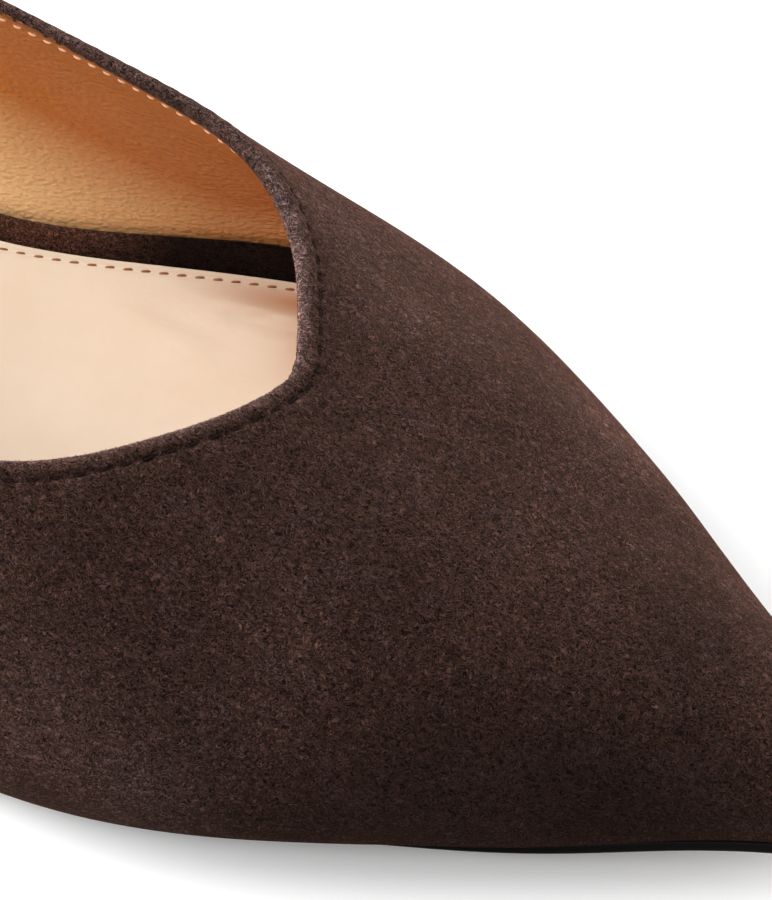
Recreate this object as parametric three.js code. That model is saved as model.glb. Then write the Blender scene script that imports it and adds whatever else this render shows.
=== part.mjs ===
// A pointed ballet flat for the right foot, standing empty on its sole.
// Millimetres. X runs from the heel to the toe, Y towards the big toe's side, Z up from the floor.
// The origin is on the floor under the middle of the heel.
// The upper is lofted through sections that stand round the edge of the sole, each one
// an arc that climbs from the sole's edge to the collar.
import * as THREE from "three";
import { mergeVertices } from "three/addons/utils/BufferGeometryUtils.js";

// Overall sizes
const shoeLength = 262; // from the back of the heel to the tip of the toe, at the sole's edge
const ballWidth = 76; // sole's edge across the ball of the foot
const seatWidth = 54; // sole's edge across the heel
const toeSpring = 9.2; // how far the tip of the sole stands off the floor
const toeCurve = 1.8; // 1 lifts the toe in a straight line, 2 in a parabola
const heelHeight = 8; // floor to the sole's underside at the heel
const originFromBack = 26; // from the back of the heel to the origin

// Heights of the collar over the sole's edge
const backHeight = 51;
const sideHeight = 37;
const throatHeight = 37;
const vampLength = 82.6; // from the tip of the toe back to the bottom of the throat's V

// Thicknesses
const soleThickness = 2.4;
const upperWall = 2.2; // suede and lining together
const insoleThickness = 3.2;
const insoleCrown = 1.2; // how far the insole's middle stands over its edge
const bandHeightHeel = 3.2; // of the suede band over the insole's edge, from the heel to the waist
const bandHeightToe = 5.8; // and from the ball forwards
const bandThickness = 0.8;
const seat = 0.3; // clearance between pieces that touch
const sockSeat = 0.6; // the same between the insole's edge and the band, which are both curved
const soleBevel = 0.6; // at the lower edge of the sole
const heelBevel = 0.5; // at both edges of the heel
const heelInsetDepth = 0.4; // of the heel's side inside the sole's edge
const breastHollow = 3; // of the heel's front face, towards the back
const uprightLength = 13; // how strongly the wall turns straight outwards below the collar

// Where the sole touches down, as shares of the shoe's length from the heel's back
const heelBreast = 0.225; // front of the heel
const treadStart = 0.56;
const treadEnd = 0.72;

// Other places along the shoe, as shares of its length from the heel's back
const seatEnd = 0.15; // the sole's width grows from here
const ballStart = 0.55; // to here
const quarterEnd = 0.33; // the collar has come down from its back height here
const vampStart = 0.45; // and changes to the throat's height from here
const vampEnd = 0.65; // to here
const bandRiseStart = 0.49; // the suede band grows taller from here
const bandRiseEnd = 0.62; // to here

// Sections on the outer side of the foot, heel to toe.
// along, out: the point at the sole's edge; out is a share of half the sole's width there.
// topAlong, topOut, up: the point at the collar; topAlong is a share of the shoe's length,
// up is a share of the collar's height there.
// flare, rise: the arc's handle at the sole, outwards and upwards, in shares of sideHeight.
// reach, drop: its handle at the collar, outwards and downwards, in shares of sideHeight.
const outerSections = [
  { along: 0.028, out: 0.62, topAlong: 0.04, topOut: 0.57, up: 0.99, flare: 0.1, rise: 0.36, reach: 0.08, drop: 0.42 },
  { along: 0.095, out: 1.0, topAlong: 0.105, topOut: 0.93, up: 0.97, flare: 0.12, rise: 0.32, reach: 0.09, drop: 0.36 },
  { along: 0.2, out: 1.0, topAlong: 0.2, topOut: 0.96, up: 0.99, flare: 0.13, rise: 0.28, reach: 0.1, drop: 0.32 },
  { along: 0.33, out: 0.93, topAlong: 0.325, topOut: 0.88, up: 0.99, flare: 0.16, rise: 0.26, reach: 0.12, drop: 0.3 },
  { along: 0.47, out: 1.0, topAlong: 0.45, topOut: 0.83, up: 0.94, flare: 0.24, rise: 0.22, reach: 0.16, drop: 0.28 },
  { along: 0.59, out: 1.13, topAlong: 0.55, topOut: 0.8, up: 0.94, flare: 0.26, rise: 0.2, reach: 0.22, drop: 0.26 },
  { along: 0.685, out: 1.06, topAlong: 0.615, topOut: 0.67, up: 0.97, flare: 0.33, rise: 0.2, reach: 0.38, drop: 0.22 },
  { along: 0.775, out: 0.8, topAlong: 0.656, topOut: 0.435, up: 1.0, flare: 0.35, rise: 0.18, reach: 0.5, drop: 0.18 },
  { along: 0.86, out: 0.54, topAlong: 0.678, topOut: 0.23, up: 1.0, flare: 0.19, rise: 0.27, reach: 0.6, drop: 0.19 },
  { along: 0.935, out: 0.28, topAlong: 0.6865, topOut: 0.115, up: 1.0, flare: 0.1, rise: 0.28, reach: 0.68, drop: 0.25 },
  { along: 0.985, out: 0.12, topAlong: 0.6875, topOut: 0.045, up: 1.0, flare: 0.05, rise: 0.24, reach: 0.7, drop: 0.28 },
];

// The same on the inner side, along the big toe.
const innerSections = [
  { along: 0.028, out: 0.62, topAlong: 0.04, topOut: 0.57, up: 0.99, flare: 0.1, rise: 0.36, reach: 0.08, drop: 0.42 },
  { along: 0.095, out: 0.97, topAlong: 0.105, topOut: 0.9, up: 0.97, flare: 0.12, rise: 0.32, reach: 0.08, drop: 0.36 },
  { along: 0.2, out: 0.86, topAlong: 0.2, topOut: 0.9, up: 1.01, flare: 0.16, rise: 0.28, reach: 0.08, drop: 0.32 },
  { along: 0.33, out: 0.66, topAlong: 0.325, topOut: 0.8, up: 1.05, flare: 0.1, rise: 0.3, reach: 0.12, drop: 0.32 },
  { along: 0.47, out: 0.635, topAlong: 0.45, topOut: 0.74, up: 1.05, flare: 0.04, rise: 0.3, reach: 0.18, drop: 0.3 },
  { along: 0.59, out: 0.915, topAlong: 0.55, topOut: 0.722, up: 1.03, flare: 0.1, rise: 0.28, reach: 0.2, drop: 0.26 },
  { along: 0.685, out: 1.085, topAlong: 0.615, topOut: 0.672, up: 1.01, flare: 0.125, rise: 0.275, reach: 0.155, drop: 0.3 },
  { along: 0.775, out: 0.875, topAlong: 0.656, topOut: 0.455, up: 1.0, flare: 0.16, rise: 0.32, reach: 0.3, drop: 0.28 },
  { along: 0.86, out: 0.55, topAlong: 0.673, topOut: 0.24, up: 1.0, flare: 0.17, rise: 0.3, reach: 0.58, drop: 0.19 },
  { along: 0.935, out: 0.29, topAlong: 0.683, topOut: 0.11, up: 1.0, flare: 0.1, rise: 0.28, reach: 0.68, drop: 0.25 },
  { along: 0.985, out: 0.14, topAlong: 0.6865, topOut: 0.045, up: 1.0, flare: 0.05, rise: 0.24, reach: 0.7, drop: 0.28 },
];

// The two sections on the centre line. out is a share of half the ball's width, towards the inner side.
const backSection = { along: 0.006, out: 0, topAlong: 0.016, topOut: 0, up: 1, flare: 0.1, rise: 0.38, reach: 0.08, drop: 0.46 };
const tipSection = { along: 1, out: 0.03, topAlong: 0.687, topOut: 0, up: 1.0, flare: 0.03, rise: 0.24, reach: 0.72, drop: 0.3 };

// Fineness
const columnsPerSection = 4;
const wallRows = 12; // from the sole's edge to the collar
const foldRows = 4; // round the folded edge of the collar
const crownPoints = 6; // across the insole and the sole

const mix = (a, b, share) => a + (b - a) * share;
const smooth = (share) => {
  const t = Math.min(1, Math.max(0, share));
  return t * t * (3 - 2 * t);
};

// Underside of the sole: level at the heel, sloping to the tread, flat there, then up to the tip.
function soleUnderside(x) {
  const at = x / shoeLength;
  if (at < treadStart) return heelHeight * smooth((treadStart - at) / (treadStart - heelBreast));
  if (at <= treadEnd) return 0;
  return toeSpring * ((at - treadEnd) / (1 - treadEnd)) ** toeCurve;
}

const soleTop = (x) => soleUnderside(x) + soleThickness;
const pieceFloor = (x) => soleTop(x) + seat; // where the upper and insole stand

// Half the sole's width that a section's shares refer to.
const halfWidth = (at) => mix(seatWidth, ballWidth, smooth((at - seatEnd) / (ballStart - seatEnd))) / 2;

// Height of the collar that a section's shares refer to.
function collarHeight(at) {
  const back = mix(backHeight, sideHeight, smooth(at / quarterEnd));
  return mix(back, throatHeight, smooth((at - vampStart) / (vampEnd - vampStart)));
}

// A section's shares turned into millimetres. side is -1 on the outer side and 1 on the inner side.
function placed(row, side) {
  const throat = 1 - vampLength / shoeLength;
  const topAt = row.topAlong * (throat / tipSection.topAlong);
  const x = row.along * shoeLength;
  const topX = topAt * shoeLength;
  return {
    x,
    y: side * row.out * halfWidth(row.along),
    topX,
    topY: side * row.topOut * halfWidth(topAt),
    topZ: pieceFloor(topX) + row.up * collarHeight(topAt),
    flare: row.flare * sideHeight,
    rise: row.rise * sideHeight,
    reach: row.reach * sideHeight,
    drop: row.drop * sideHeight,
  };
}

// All sections in one closed loop: tip, outer side to the heel, inner side back to the tip.
const loopSections = [
  placed(tipSection, 1),
  ...outerSections.map((row) => placed(row, -1)).reverse(),
  placed(backSection, 1),
  ...innerSections.map((row) => placed(row, 1)),
];

// Distance round the sole's edge at each section, and in all.
const knots = [0];
for (let i = 1; i <= loopSections.length; i++) {
  const from = loopSections[i - 1];
  const to = loopSections[i % loopSections.length];
  knots.push(knots[i - 1] + Math.hypot(to.x - from.x, to.y - from.y));
}

// A smooth closed curve through one value of every section: a periodic cubic spline.
function closedSpline(values) {
  const n = values.length;
  const step = (i) => knots[((i + n) % n) + 1] - knots[(i + n) % n];
  const value = (i) => values[(i + n) % n];
  const slopes = values.map(() => 0);
  const sweeps = 80;
  for (let sweep = 0; sweep < sweeps; sweep++) {
    for (let i = 0; i < n; i++) {
      const before = step(i - 1);
      const after = step(i);
      const pull =
        (3 * after * (value(i) - value(i - 1))) / before + (3 * before * (value(i + 1) - value(i))) / after;
      const neighbours = after * slopes[(i - 1 + n) % n] + before * slopes[(i + 1) % n];
      slopes[i] = (pull - neighbours) / (2 * (before + after));
    }
  }
  return (i, share) => {
    const h = step(i);
    const s2 = share * share;
    const s3 = s2 * share;
    return (
      value(i) * (2 * s3 - 3 * s2 + 1) +
      value(i + 1) * (3 * s2 - 2 * s3) +
      h * slopes[i % n] * (s3 - 2 * s2 + share) +
      h * slopes[(i + 1) % n] * (s3 - s2)
    );
  };
}

const splines = {};
for (const name of Object.keys(loopSections[0])) {
  splines[name] = closedSpline(loopSections.map((section) => section[name]));
}

// Every column of the loft, between the sections too, with the outward direction at the sole's edge.
function makeColumns() {
  const columns = [];
  for (let i = 0; i < loopSections.length; i++) {
    for (let k = 0; k < columnsPerSection; k++) {
      const column = {};
      for (const name in splines) column[name] = splines[name](i, k / columnsPerSection);
      const nudge = 0.01;
      const ahead = {
        x: splines.x(i, k / columnsPerSection + nudge),
        y: splines.y(i, k / columnsPerSection + nudge),
      };
      // the loop runs clockwise seen from above, so outwards is to the left of its direction
      column.outward = new THREE.Vector2(-(ahead.y - column.y), ahead.x - column.x).normalize();
      columns.push(column);
    }
  }
  return columns;
}

const columns = makeColumns();
const count = columns.length;

// The arc of one column from the sole's edge (up = 0) to the collar (up = 1).
function arcOf(column) {
  const { x, y, topX, topY, topZ, flare, rise, reach, drop, outward } = column;
  // at the collar the arc leaves towards the sole's edge, or straight outwards where it stands upright
  const lean = new THREE.Vector2(x - topX, y - topY).addScaledVector(outward, uprightLength).normalize();
  const foot = pieceFloor(x);
  return new THREE.CubicBezierCurve3(
    new THREE.Vector3(x, y, foot),
    new THREE.Vector3(x + flare * outward.x, y + flare * outward.y, foot + rise),
    new THREE.Vector3(topX + reach * lean.x, topY + reach * lean.y, topZ - drop),
    new THREE.Vector3(topX, topY, topZ),
  );
}

const arcs = columns.map(arcOf);

// The share of each arc at which the wall turns into its folded edge, so that the fold's top
// stands at the arc's end.
const foldStarts = arcs.map((arc) => arc.getUtoTmapping(1 - upperWall / 2 / arc.getLength()));

// Outward normal of the upper's outer face at a column and a height along its arc.
function outerNormal(c, up) {
  const before = arcs[(c - 1 + count) % count].getPoint(up);
  const after = arcs[(c + 1) % count].getPoint(up);
  const around = after.sub(before);
  const climb = arcs[c].getTangent(up);
  return around.cross(climb).normalize().negate();
}

// A point inside the outer face by a depth, measured square to it.
function wallPoint(c, up, depth) {
  return arcs[c].getPoint(up).addScaledVector(outerNormal(c, up), -depth);
}

// The share of its arc at which the face that lies a depth inside the wall reaches a height
// over the sole's edge, or nearly 0 where that face starts higher up.
function shareAtHeight(c, height, depth) {
  let low = 0;
  let high = 1;
  const halvings = 20;
  for (let i = 0; i < halvings; i++) {
    const middle = (low + high) / 2;
    if (wallPoint(c, middle, depth).z - pieceFloor(columns[c].x) < height) low = middle;
    else high = middle;
  }
  return (low + high) / 2;
}

// One point for every column, leaving out the ones nearer to the tip than the first.
const ringOf = (pointAt, first = 0) =>
  columns.map((column, c) => pointAt(c, column)).slice(first, first ? count - first + 1 : count);

// A closed solid of rings of points. With caps the first and last ring are closed by rungs
// from side to side; without, the last ring joins the first again.
function solidOfRings(rings, caps) {
  const positions = [];
  const faces = [];
  const add = (point) => positions.push(point.x, point.y, point.z) / 3 - 1;
  const indices = rings.map((ring) => ring.map(add));
  const triangle = (a, b, c) => {
    if (a !== b && b !== c && c !== a) faces.push(a, b, c);
  };
  const quad = (a, b, c, d) => {
    triangle(a, b, c);
    triangle(a, c, d);
  };
  const size = rings[0].length;
  const pairs = caps ? rings.length - 1 : rings.length;
  for (let r = 0; r < pairs; r++) {
    const low = indices[r];
    const high = indices[(r + 1) % rings.length];
    for (let c = 0; c < size; c++) {
      const next = (c + 1) % size;
      quad(low[next], low[c], high[c], high[next]);
    }
  }
  if (caps) {
    addCap(rings[0], indices[0], caps.bottom, true);
    addCap(rings.at(-1), indices.at(-1), caps.top, false);
  }

  // Closes a ring with rows of quads between its outer and inner side.
  function addCap(ring, index, heightAt, facingDown) {
    let previous = null;
    const opposite = (k) => (size === count ? (count - k) % count : size - 1 - k);
    for (let k = 0; k <= opposite(k) || k === 0; k++) {
      const a = ring[k];
      const b = ring[opposite(k)];
      const rung = [];
      for (let j = 0; j <= crownPoints; j++) {
        const share = j / crownPoints;
        if (j === 0 || a === b) rung.push(index[k]);
        else if (j === crownPoints) rung.push(index[opposite(k)]);
        else if (k === 0) rung.push(j < crownPoints / 2 ? index[0] : index[opposite(0)]);
        else {
          const point = new THREE.Vector3().lerpVectors(a, b, share);
          point.z = heightAt(point, share);
          rung.push(add(point));
        }
      }
      for (let j = 0; previous && j < crownPoints; j++) {
        const corners = [previous[j], previous[j + 1], rung[j + 1], rung[j]];
        if (facingDown) corners.reverse();
        quad(...corners);
      }
      previous = rung;
    }
  }

  const geometry = new THREE.BufferGeometry();
  geometry.setAttribute("position", new THREE.Float32BufferAttribute(positions, 3));
  geometry.setIndex(faces);
  geometry.computeVertexNormals();
  return geometry;
}

const materials = {
  suede: new THREE.MeshStandardMaterial({ color: 0x3b2b29, roughness: 0.95, metalness: 0 }),
  bandSuede: new THREE.MeshStandardMaterial({ color: 0x2f2220, roughness: 0.95, metalness: 0 }),
  sock: new THREE.MeshStandardMaterial({ color: 0xe6c7a0, roughness: 0.5, metalness: 0 }),
  soleLeather: new THREE.MeshStandardMaterial({ color: 0x14100f, roughness: 0.5, metalness: 0 }),
  heelStack: new THREE.MeshStandardMaterial({ color: 0x100d0c, roughness: 0.45, metalness: 0 }),
};

const shoe = new THREE.Group();
shoe.position.x = -originFromBack;

function addPiece(name, geometry, material) {
  const mesh = new THREE.Mesh(geometry, material);
  mesh.name = name;
  shoe.add(mesh);
}

// Upper: outer face, folded edge, inner face, then the foot of the wall closes the loop.
function upper() {
  const rings = [];
  for (let row = 0; row <= wallRows; row++) {
    rings.push(ringOf((c) => wallPoint(c, (row / wallRows) * foldStarts[c], 0)));
  }
  for (let row = 1; row < foldRows; row++) {
    const angle = (Math.PI * row) / foldRows;
    rings.push(
      ringOf((c) => {
        const edge = wallPoint(c, foldStarts[c], (upperWall / 2) * (1 - Math.cos(angle)));
        return edge.addScaledVector(arcs[c].getTangent(foldStarts[c]), (upperWall / 2) * Math.sin(angle));
      }),
    );
  }
  for (let row = wallRows; row >= 0; row--) {
    rings.push(
      ringOf((c, column) => {
        const point = wallPoint(c, (row / wallRows) * foldStarts[c], upperWall);
        if (row === 0) point.z = pieceFloor(column.x);
        return point;
      }),
    );
  }
  return solidOfRings(rings);
}

// Suede band that stands inside the foot of the wall.
const bandDepth = upperWall + seat;
const sockDepth = bandDepth + bandThickness + sockSeat;
const bandFirst = 3; // columns from the tip at which the band's and the insole's outlines turn across the toe
const sockFirst = 5;

const bandHeight = (at) =>
  mix(bandHeightHeel, bandHeightToe, smooth((at - bandRiseStart) / (bandRiseEnd - bandRiseStart)));

function footBand() {
  const bandRows = 4;
  const face = (depth, row) =>
    ringOf((c) => {
      const bottom = shareAtHeight(c, 2 * seat, depth);
      const top = shareAtHeight(c, insoleThickness + bandHeight(columns[c].x / shoeLength), depth);
      return wallPoint(c, mix(bottom, top, row / bandRows), depth);
    }, bandFirst);
  const rings = [];
  for (let row = 0; row <= bandRows; row++) rings.push(face(bandDepth, row));
  for (let row = bandRows; row >= 0; row--) rings.push(face(bandDepth + bandThickness, row));
  return solidOfRings(rings);
}

// Padded insole, its edge following the wall and its top crowned from side to side.
function insole() {
  const edgeRows = 3;
  const rings = [];
  for (let row = 0; row <= edgeRows; row++) {
    const height = mix(0, insoleThickness, row / edgeRows);
    const depth = mix(sockDepth + seat, sockDepth, row / edgeRows);
    rings.push(
      ringOf((c) => {
        const point = wallPoint(c, shareAtHeight(c, height, depth), depth);
        point.z = pieceFloor(point.x) + height;
        return point;
      }, sockFirst),
    );
  }
  const crowned = (point, share) =>
    pieceFloor(point.x) + insoleThickness + insoleCrown * 4 * share * (1 - share);
  return solidOfRings(rings, { bottom: (point) => pieceFloor(point.x), top: crowned });
}

// Outsole: the upper's foot outline, with a small bevel at its lower edge.
function soleRing(inset, heightAt) {
  return ringOf((c, { x, y, outward }) => {
    const point = new THREE.Vector3(x - inset * outward.x, y - inset * outward.y, 0);
    point.z = heightAt(point.x);
    return point;
  });
}

function outsole() {
  const rings = [
    soleRing(soleBevel, soleUnderside),
    soleRing(0, (x) => soleUnderside(x) + soleBevel),
    soleRing(0, soleTop),
  ];
  return solidOfRings(rings, {
    bottom: (point) => soleUnderside(point.x),
    top: (point) => soleTop(point.x),
  });
}

// Heel: a low block under the level back of the sole, its breast hollowed towards the heel.
function heel() {
  const breastX = heelBreast * shoeLength;
  const breastFacets = 8;
  const edge = columns
    .filter((column) => column.x < breastX)
    .map(({ x, y, outward }) => new THREE.Vector2(x - heelInsetDepth * outward.x, y - heelInsetDepth * outward.y));
  const outerCorner = edge[0];
  const outline = new THREE.Shape(edge);
  outline.quadraticCurveTo(outerCorner.x - breastHollow, 0, outerCorner.x, outerCorner.y);
  const height = heelHeight - seat - 2 * heelBevel;
  const geometry = new THREE.ExtrudeGeometry(outline, {
    depth: height,
    bevelThickness: heelBevel,
    bevelSize: heelBevel,
    bevelOffset: -heelBevel,
    bevelSegments: 1,
    curveSegments: breastFacets,
  });
  geometry.deleteAttribute("normal");
  geometry.deleteAttribute("uv");
  return mergeVertices(geometry.translate(0, 0, heelBevel));
}

addPiece("upper", upper(), materials.suede);
addPiece("foot_band", footBand(), materials.bandSuede);
addPiece("insole", insole(), materials.sock);
addPiece("outsole", outsole(), materials.soleLeather);
addPiece("heel", heel(), materials.heelStack);

export default shoe;
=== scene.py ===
# %% [markdown]
# # A pointed ballet flat in dark brown suede
#
# This lesson dresses the solid model of a right shoe until it looks like the real one.
# The solids already have the true shape of the last, so every piece here is read off
# them: the suede skin, the tan lining, the padded sock, the suede band at the foot of
# the wall, the thin sole with its inked edge, and the low heel. Stitches, folds, nap
# and grain are what this file adds.
#
# X runs from the heel to the toe, Y towards the big toe's side, Z up. Blender works in
# metres, and a shoemaker in millimetres, so lengths are written in millimetres here.

import math

import bpy
import numpy as np
from mathutils import Matrix, Vector


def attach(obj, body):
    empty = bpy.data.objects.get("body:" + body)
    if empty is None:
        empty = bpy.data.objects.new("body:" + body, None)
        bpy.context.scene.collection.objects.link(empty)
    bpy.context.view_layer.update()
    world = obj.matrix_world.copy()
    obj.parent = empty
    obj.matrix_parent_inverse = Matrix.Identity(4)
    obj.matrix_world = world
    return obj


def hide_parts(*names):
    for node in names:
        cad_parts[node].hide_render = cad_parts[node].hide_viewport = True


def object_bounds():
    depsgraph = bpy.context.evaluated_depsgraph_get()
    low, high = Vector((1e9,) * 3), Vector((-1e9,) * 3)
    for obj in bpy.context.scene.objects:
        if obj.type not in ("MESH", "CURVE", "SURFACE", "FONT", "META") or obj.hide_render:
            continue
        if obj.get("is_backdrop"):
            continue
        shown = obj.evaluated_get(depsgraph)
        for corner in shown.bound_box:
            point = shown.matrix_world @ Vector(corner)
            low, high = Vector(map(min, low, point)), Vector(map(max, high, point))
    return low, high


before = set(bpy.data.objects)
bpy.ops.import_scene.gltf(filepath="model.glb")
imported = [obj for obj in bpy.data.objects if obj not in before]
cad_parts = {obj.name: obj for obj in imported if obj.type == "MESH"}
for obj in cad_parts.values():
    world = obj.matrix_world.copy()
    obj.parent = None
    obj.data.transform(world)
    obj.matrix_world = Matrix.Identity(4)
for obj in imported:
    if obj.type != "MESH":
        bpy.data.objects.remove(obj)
cad_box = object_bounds()
MM = 0.001
print("solids:", sorted(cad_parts))

# %% [markdown]
# ## The camera
#
# The photograph is a close crop taken from in front of the outer side and high above,
# with a long lens. A long lens far away keeps the toe from looking swollen. The camera
# looks at a point in the vamp, is rolled by one degree, and then moves sideways and
# upwards without turning, so that the crop is the photograph's.

# %% Camera
AZIMUTH, ELEVATION, ROLL = 29.8, 52.23, 1.0
DISTANCE = 1300 * MM
PIXELS_PER_MM = 8.952
LOOK_AT = Vector((164, 0, 25)) * MM
IMAGE_HEIGHT = 900
SENSOR = 36

turn, lift, roll = (math.radians(a) for a in (AZIMUTH, ELEVATION, ROLL))
back = Vector((math.sin(turn) * math.cos(lift), -math.cos(turn) * math.cos(lift), math.sin(lift)))
level = Vector((math.cos(turn), math.sin(turn), 0))
upright = back.cross(level)
right = level * math.cos(roll) + upright * math.sin(roll)
above = upright * math.cos(roll) - level * math.sin(roll)
crop = right * (26.6 / PIXELS_PER_MM * MM) + above * (34.4 / PIXELS_PER_MM * MM)

bpy.ops.object.camera_add(location=LOOK_AT + back * DISTANCE + crop)
camera = bpy.context.object
camera.name = "camera"
facing = Matrix((right, above, back)).transposed().to_4x4()
camera.matrix_world = Matrix.Translation(camera.location) @ facing
camera.data.sensor_fit = "VERTICAL"
camera.data.sensor_width = SENSOR
camera.data.sensor_height = SENSOR
camera.data.lens = PIXELS_PER_MM * 1000 * DISTANCE * SENSOR / IMAGE_HEIGHT
camera.data.clip_start = 0.05
camera.data.clip_end = 20
bpy.context.scene.camera = camera
print("lens", round(camera.data.lens), "mm")

# %% [markdown]
# ## Reading the last off the solids
#
# The upper's solid is a skin of triangles that was woven in rings: each ring goes once
# round the shoe, and the rings climb the outside, turn over the collar and go down the
# inside. If the rings can be read back, every later piece can be set at a distance
# from the collar or at a depth in the wall. A merged copy of the solid is walked for
# that: in such a weave every point has six neighbours, and going straight on means
# leaving by the neighbour opposite the one it was entered from.

# %% Walk the weave
def merged_copy(node):
    """A copy of a solid's mesh with its loose triangles joined."""
    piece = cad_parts[node].copy()
    piece.data = piece.data.copy()
    piece.parent = None
    for key in list(piece.keys()):
        del piece[key]
    bpy.context.scene.collection.objects.link(piece)
    bpy.ops.object.select_all(action="DESELECT")
    bpy.context.view_layer.objects.active = piece
    piece.select_set(True)
    bpy.ops.object.mode_set(mode="EDIT")
    bpy.ops.mesh.select_all(action="SELECT")
    bpy.ops.mesh.remove_doubles(threshold=1e-6)
    bpy.ops.object.mode_set(mode="OBJECT")
    return piece


def rings_of(node, points_round):
    """The solid's points as an array: ring, place in the ring, x y z.
    Ring 0 is the outer foot, and place 0 is at the toe with the outer side next."""
    piece = merged_copy(node)
    points = np.array([v.co for v in piece.data.vertices])
    after = [{} for _ in points]
    for face in piece.data.polygons:
        a, b, c = face.vertices
        after[a][b] = c
        after[b][c] = a
        after[c][a] = b
    bpy.data.objects.remove(piece)

    def line(start, step):
        passed = [start]
        behind, here = start, step
        while here != start and len(passed) <= len(points):
            passed.append(here)
            ahead = behind
            for _ in range(3):
                ahead = after[here][ahead]
            behind, here = here, ahead
        return passed

    start = int(points[:, 0].argmax())
    columns = [line(start, step) for step in after[start]]
    column = next(c for c in columns if len(c) * points_round == len(points))
    rings = []
    for at in column:
        ways = [line(at, step) for step in after[at]]
        ways = [w for w in ways if len(w) == points_round]
        rings.append(min(ways, key=lambda w: points[w[1], 1]))
    rings = points[np.array(rings)]
    heights = rings[:, :, 2].mean(1)
    lowest = np.argsort(heights)[:2]
    outline = [np.ptp(rings[r, :, 1]) for r in lowest]
    rings = np.roll(rings, -lowest[int(np.argmax(outline))], axis=0)
    if rings[1, :, 2].mean() < rings[-1, :, 2].mean():
        rings = np.roll(rings[::-1], 1, axis=0)
    return rings


woven = rings_of("upper", 96)
print("upper:", woven.shape[0], "rings of", woven.shape[1], "points")

# %% [markdown]
# ## Places in the wall
#
# Rings 0 to 12 climb the outer face, rings 13 to 15 turn over the top in a round fold,
# and rings 16 to 28 go down the inner face, 2.2 mm further in. So each point of the
# wall is known by its column, its distance below the start of the fold and its depth
# under the outer face. The next helper returns such points, with a smooth curve
# through the rings. A column is measured once in fine steps, so that a distance can be
# looked up.

# %% A point of the wall
WALL_ROWS = 12
FOLD_ROWS = 4
WALL = 2.2 * MM
outer_face = woven[: WALL_ROWS + 1]
inner_face = woven[WALL_ROWS + FOLD_ROWS :][::-1]
COLUMNS = woven.shape[1]
FINE = 40


def spline(a, b, c, d, f):
    """The point at share f between b and c, on the smooth curve through all four."""
    return 0.5 * (2 * b + (c - a) * f + (2 * a - 5 * b + 4 * c - d) * f**2 + (3 * b - a - 3 * c + d) * f**3)


def smooth_through(points, places):
    """Points on the curve through evenly spaced points, at places counted in steps."""
    before = 2 * points[:1] - points[1:2]
    beyond = 2 * points[-1:] - points[-2:-1]
    p = np.concatenate([before, points, beyond])
    step = np.clip(np.floor(places).astype(int), 0, len(points) - 2)
    f = (places - step)[..., None]
    column = np.broadcast_to(np.arange(points.shape[1]), step.shape)
    a, b, c, d = (p[step + k, column] for k in range(4))
    return spline(a, b, c, d, f)


fine_places = np.repeat(np.linspace(0, WALL_ROWS, WALL_ROWS * FINE + 1)[:, None], COLUMNS, axis=1)
fine_outer = smooth_through(outer_face, fine_places)
steps = np.linalg.norm(np.diff(fine_outer, axis=0), axis=2)
below_collar = np.concatenate([steps[::-1].cumsum(0)[::-1], np.zeros((1, COLUMNS))])
wall_height = below_collar[0]


def wall_ring(distance, depth):
    """One point per column, at a distance below the fold and a depth in the wall.
    Both are in metres, one number or one for each column. A negative distance goes on
    straight past the fold's start."""
    distance = np.broadcast_to(distance, COLUMNS)
    if distance.min() < 0:
        level = wall_ring(np.maximum(distance, 0), depth)
        lower = wall_ring(np.maximum(distance, 0) + 0.5 * MM, depth)
        return level + (level - lower) * (np.minimum(distance, 0) / (-0.5 * MM))[:, None]
    places = [np.interp(-distance[c], -below_collar[:, c], fine_places[:, c]) for c in range(COLUMNS)]
    places = np.array(places)[None]
    share = np.broadcast_to(depth, COLUMNS)[:, None] / WALL
    outside = smooth_through(outer_face, places)[0]
    inside = smooth_through(inner_face, places)[0]
    return outside + (inside - outside) * share


print("wall up to", round(wall_height.max() / MM), "mm along its face")

# %% [markdown]
# ## From rings to a piece
#
# A closed piece such as the suede skin is a list of rings that ends where it began.
# The solid has 96 columns, which is too coarse for stitches, so three more columns are
# put between each two on a curve that passes through them all. Each point also gets
# its place for the UV map: how many stitches it is round the collar, and how far below
# the fold. Subdivision then rounds the quads, as on a mesh modelled by hand.

# %% Build and finish a piece
BETWEEN = 4
STITCH_PITCH = 2.6


def finer(ring, closed=True, parts=BETWEEN):
    """More points along a ring, on a curve through the given ones."""
    if closed:
        p = np.concatenate([ring[-1:], ring, ring[:2]])
    else:
        p = np.concatenate([2 * ring[:1] - ring[1:2], ring, 2 * ring[-1:] - ring[-2:-1]])
    a, b, c, d = p[:-3], p[1:-2], p[2:-1], p[3:]
    made = [spline(a, b, c, d, k / parts) for k in range(parts)]
    made = np.stack(made, axis=1).reshape(-1, 3)
    return made if closed else np.concatenate([made, ring[-1:]])


def lengths_round(ring):
    steps = np.linalg.norm(np.roll(ring, -1, axis=0) - ring, axis=1)
    return np.concatenate([[0], steps.cumsum()])


def new_piece(name, points, faces, uv=None):
    mesh = bpy.data.meshes.new(name)
    mesh.from_pydata([tuple(p) for p in points], [], faces)
    piece = bpy.data.objects.new(name, mesh)
    bpy.context.scene.collection.objects.link(piece)
    if uv is not None:
        layer = mesh.uv_layers.new(name="UVMap")
        layer.data.foreach_set("uv", np.array(uv, dtype=np.float32).ravel())
    return piece


def choose(piece):
    bpy.ops.object.select_all(action="DESELECT")
    bpy.context.view_layer.objects.active = piece
    piece.select_set(True)


def subdivided(piece, levels):
    choose(piece)
    modifier = piece.modifiers.new("rounding", "SUBSURF")
    modifier.levels = levels
    modifier.render_levels = levels
    bpy.ops.object.modifier_apply(modifier=modifier.name)
    bpy.ops.object.shade_smooth()


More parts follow.
